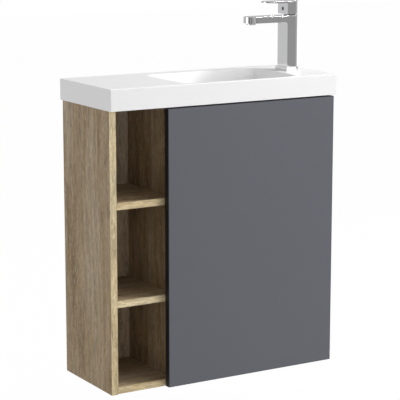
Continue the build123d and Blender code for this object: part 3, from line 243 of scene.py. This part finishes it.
def oak_colour(nodes, axis, shift, tones):
    """The oak print's colour and its fibres, with the grain along one axis."""
    pale, middle, dark = tones
    broad = placed(nodes, grain_scale(axis, 1.0, 0.14), shift)
    cloud = noise(nodes, broad, 15.0, 4.0, 0.6, 0.7)
    base = ramp(nodes, cloud, [(0.32, dark), (0.47, middle), (0.72, pale)])
    rings = nodes.nodes.new("ShaderNodeTexWave")
    rings.wave_type = "RINGS"
    rings.rings_direction = "XYZ"[axis]
    rings.inputs["Scale"].default_value = 11.0
    rings.inputs["Distortion"].default_value = 13.0
    rings.inputs["Detail"].default_value = 4.0
    rings.inputs["Detail Scale"].default_value = 1.1
    ring_place = placed(nodes, grain_scale(axis, 1.0, 0.24), shift)
    nodes.links.new(ring_place, rings.inputs["Vector"])
    figure = ramp(nodes, rings.outputs["Fac"],
                  [(0.0, 0.74), (0.25, 0.98), (0.8, 1.02), (1.0, 1.2)])
    figured = mixed(nodes, "MULTIPLY", 0.7, base, figure)
    streak_place = placed(nodes, grain_scale(axis, 1.0, 0.25), shift)
    streak = noise(nodes, streak_place, 165.0, 4.0, 0.72, 1.6)
    flecked = mixed(nodes, "MIX", ramp(nodes, streak, [(0.50, 0.0), (0.62, 0.75)]),
                    figured, pale)
    fibre_place = placed(nodes, grain_scale(axis, 1.0, 0.14), shift)
    fibre = noise(nodes, fibre_place, 330.0, 4.0, 0.75, 0.8)
    fibred = mixed(nodes, "MULTIPLY", 0.9, flecked,
                   ramp(nodes, fibre, [(0.32, 0.56), (0.62, 1.2)]))
    pore = noise(nodes, placed(nodes, grain_scale(axis, 1.0, 0.11), shift), 1100.0, 2.0, 0.7)
    pored = mixed(nodes, "MIX", ramp(nodes, pore, [(0.62, 0.0), (0.72, 0.55)]), fibred, dark)
    knots = nodes.nodes.new("ShaderNodeTexVoronoi")
    knots.inputs["Scale"].default_value = 6.2
    knot_place = placed(nodes, grain_scale(axis, 1.0, 0.62), shift)
    nodes.links.new(knot_place, knots.inputs["Vector"])
    knot = ramp(nodes, knots.outputs["Distance"], [(0.012, 0.85), (0.04, 0.0)])
    return mixed(nodes, "MIX", knot, pored, knot_brown), fibre


def oak(name, axis, shift=(0, 0, 0), tones=(oak_pale, oak_middle, oak_dark)):
    """Oak-faced board with its grain along one axis (0, 1 or 2)."""
    material, nodes, surface = new_material(name)
    colour, fibre = oak_colour(nodes, axis, shift, tones)
    nodes.links.new(colour, surface.inputs["Base Color"])
    gloss = ramp(nodes, fibre, [(0.3, 0.66), (0.7, 0.52)])
    nodes.links.new(gloss, surface.inputs["Roughness"])
    surface.inputs["Specular IOR Level"].default_value = 0.25
    bumped(nodes, surface, fibre, 0.3, 0.0004)
    return material


def dress(node, material):
    """Gives a CAD piece its finish."""
    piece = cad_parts[node]
    piece.data.materials.clear()
    piece.data.materials.append(material)


upright, lying = 2, 0
dress("left_side_panel", oak("oak_left_side", upright, (0.3, 0.1, 0.0)))
dress("right_side_panel", oak("oak_right_side", upright, (0.7, 0.45, 0.2)))
dress("partition_panel", oak("oak_partition", upright, (0.1, 0.8, 0.5)))
# The niche back panel gets paler oak tones than the other boards: painted light, which
# brightens this board deep in the shaded niche.
niche_back_painted_light_tones = ((0.66, 0.56, 0.42), (0.52, 0.40, 0.26), (0.34, 0.24, 0.14))
dress("niche_back_panel", oak("oak_niche_back_painted_light", upright, (0.9, 0.2, 0.9), niche_back_painted_light_tones))
dress("bottom_panel", oak("oak_bottom", lying, (0.2, 0.6, 0.3)))
dress("niche_shelf_lower", oak("oak_shelf_lower", lying, (0.5, 0.3, 0.7)))
dress("niche_shelf_upper", oak("oak_shelf_upper", lying, (0.8, 0.9, 0.1)))
dress("cupboard_shelf", oak("oak_cupboard_shelf", lying, (0.4, 0.7, 0.6)))
dress("upper_back_rail", oak("oak_upper_rail", lying, (0.6, 0.2, 0.4)))
dress("lower_back_rail", oak("oak_lower_rail", lying, (0.1, 0.5, 0.8)))

# Front edges: thin oak-print strips glued on the boards' fronts, paler than the faces. The
# grain runs along each strip: upright on the panels, and level on the boards between them
# in the niche, which are told apart by their place from left to right.
edge_tones = ((0.70, 0.60, 0.39), (0.585, 0.465, 0.270), (0.43, 0.32, 0.165))
niche_middle = -0.2063
niche_half = 0.0709
edge_oak, nodes, surface = new_material("oak_edges")
stand, stand_fibre = oak_colour(nodes, upright, (0.15, 0.4, 0.25), edge_tones)
lie, lie_fibre = oak_colour(nodes, lying, (0.35, 0.6, 0.55), edge_tones)
where = nodes.nodes.new("ShaderNodeTexCoord")
split = nodes.nodes.new("ShaderNodeSeparateXYZ")
nodes.links.new(where.outputs["Object"], split.inputs[0])
in_niche = nodes.nodes.new("ShaderNodeMath")
in_niche.operation = "COMPARE"
in_niche.inputs[1].default_value = niche_middle
in_niche.inputs[2].default_value = niche_half
nodes.links.new(split.outputs["X"], in_niche.inputs[0])
strip = mixed(nodes, "MIX", in_niche.outputs[0], stand, lie)
nodes.links.new(strip, surface.inputs["Base Color"])
surface.inputs["Roughness"].default_value = 0.55
surface.inputs["Specular IOR Level"].default_value = 0.25
bumped(nodes, surface, stand_fibre, 0.25, 0.0003)
dress("board_edge_bands", edge_oak)

# Wood dowels: turned beech rods that are glued into the boards' ends and stand in holes of
# the boards beside them. The grain is drawn from left to right.
beech, nodes, surface = new_material("beech")
fibre = noise(nodes, placed(nodes, (1, 6, 6)), 180.0, 3.0, 0.6)
nodes.links.new(ramp(nodes, fibre, [(0.3, (0.56, 0.40, 0.24)), (0.7, (0.76, 0.60, 0.41))]),
                surface.inputs["Base Color"])
surface.inputs["Roughness"].default_value = 0.7
bumped(nodes, surface, fibre, 0.3, 0.0003)
dress("wood_dowels", beech)

# Metal fittings: the cam housings and hinge plates are cast zinc, the nuts and the stem are
# turned brass, and screws, hooks, hinges and the wall rail are zinc-plated steel.
relief_depth = 0.0002


def metal(name, colour, roughness, wear, scale, bump=0.05):
    """A metal whose gloss varies a little, as plated or cast metal does."""
    material, nodes, surface = new_material(name)
    cloud = noise(nodes, placed(nodes, (1, 1, 1)), scale, 4.0, 0.6)
    darker = tuple(c * (1 - wear) for c in colour)
    nodes.links.new(ramp(nodes, cloud, [(0.3, darker), (0.7, colour)]),
                    surface.inputs["Base Color"])
    gloss = ramp(nodes, cloud, [(0.3, roughness * 1.15), (0.7, roughness * 0.85)])
    nodes.links.new(gloss, surface.inputs["Roughness"])
    surface.inputs["Metallic"].default_value = 1.0
    bumped(nodes, surface, cloud, bump, relief_depth)
    return material


zinc = metal("cast_zinc", (0.55, 0.55, 0.56), 0.45, 0.15, 260.0, 0.3)
steel = metal("plated_steel", (0.66, 0.66, 0.67), 0.28, 0.1, 90.0)
brass = metal("raw_brass", (0.72, 0.55, 0.28), 0.3, 0.15, 120.0)
for node in ("cam_housings", "hinge_mounting_plates"):
    dress(node, zinc)
for node in ("cam_bolts", "shelf_pins", "hanger_hooks", "hanger_screws", "wall_rail",
             "hinge_cups", "hinge_cup_screws", "hinge_links", "hinge_arms",
             "hinge_plate_screws", "hinge_arm_screws", "faucet_stud", "stud_steel_plate"):
    dress(node, steel)
for node in ("stud_nut", "waste_backnut", "cartridge_stem"):
    dress(node, brass)


# Plastic and rubber: the trap and the hanger bodies are moulded in white plastic, and the
# cartridge and the aerator's insert in grey. Seals and gaskets are black rubber.
def moulded(name, colour, roughness, spread=0.06, scale=700.0, bump=0.15, specular=0.4):
    """Moulded plastic, rubber or lacquer with a fine even texture."""
    material, nodes, surface = new_material(name)
    cloud = noise(nodes, placed(nodes, (1, 1, 1)), scale, 3.0, 0.55)
    low = tuple(c * (1 - spread) for c in colour)
    high = tuple(min(1.0, c * (1 + spread)) for c in colour)
    nodes.links.new(ramp(nodes, cloud, [(0.3, low), (0.7, high)]), surface.inputs["Base Color"])
    gloss = ramp(nodes, cloud, [(0.3, roughness * 1.1), (0.7, roughness * 0.9)])
    nodes.links.new(gloss, surface.inputs["Roughness"])
    surface.inputs["Specular IOR Level"].default_value = specular
    bumped(nodes, surface, cloud, bump, relief_depth)
    return material


white_plastic = moulded("white_plastic", (0.80, 0.80, 0.79), 0.38)
black_rubber = moulded("black_rubber", (0.03, 0.03, 0.03), 0.7)
grey_plastic = moulded("grey_plastic", (0.5, 0.51, 0.52), 0.45)
for node in ("hanger_bodies", "trap_inlet_tube", "trap_inlet_nut", "trap_body", "trap_neck_nut",
             "trap_cup", "trap_outlet_nut", "trap_outlet_pipe"):
    dress(node, white_plastic)
for node in ("waste_upper_gasket", "waste_lower_gasket", "waste_plug_seal", "trap_cup_seal",
             "trap_neck_seal", "trap_outlet_seal", "stud_rubber_washer"):
    dress(node, black_rubber)
for node in ("aerator_insert", "cartridge_body", "cartridge_rotor"):
    dress(node, grey_plastic)

# Door: a board with a smooth satin lacquer in blue-grey anthracite. A black strip is glued
# round its edge, and two clear bumpers are stuck on inside, where it meets the cabinet.
dress("door_panel",
      moulded("anthracite_lacquer", (0.098, 0.103, 0.122), 0.46, 0.03, 1400.0, 0.06, 0.5))
dress("door_edge_band", moulded("black_edge", (0.012, 0.012, 0.013), 0.5, 0.1))
dress("door_bumpers", moulded("clear_bumper", (0.7, 0.7, 0.7), 0.4))

# Basin: cast in one piece with its bowl and glazed white, with a soft gloss all over. It
# rests on top of the carcass.
dress("basin", moulded("white_glaze", (0.86, 0.86, 0.86), 0.30, 0.006, 600.0, 0.02, 0.25))

# Faucet, waste and plug: brass castings with a polished chrome plating. A stud with a plate
# and a nut clamps the faucet to the basin. The cartridge's nut, in the lever's gap, gets a
# darker chrome as painted shade for that gap, and a dark index plug is pressed into the lever.
chrome = metal("chrome", (0.83, 0.83, 0.84), 0.05, 0.02, 40.0, 0.0)
for node in ("waste_body", "waste_plug", "faucet_body", "faucet_base_plate", "aerator_housing",
             "lever_handle"):
    dress(node, chrome)
# Painted shade: the nut's chrome is darkened to stand for the shade in the lever's gap.
dress("cartridge_nut", metal("chrome_with_painted_shade", (0.25, 0.25, 0.27), 0.2, 0.1, 80.0))
dress("index_plug", moulded("index_grey", (0.10, 0.12, 0.16), 0.35))
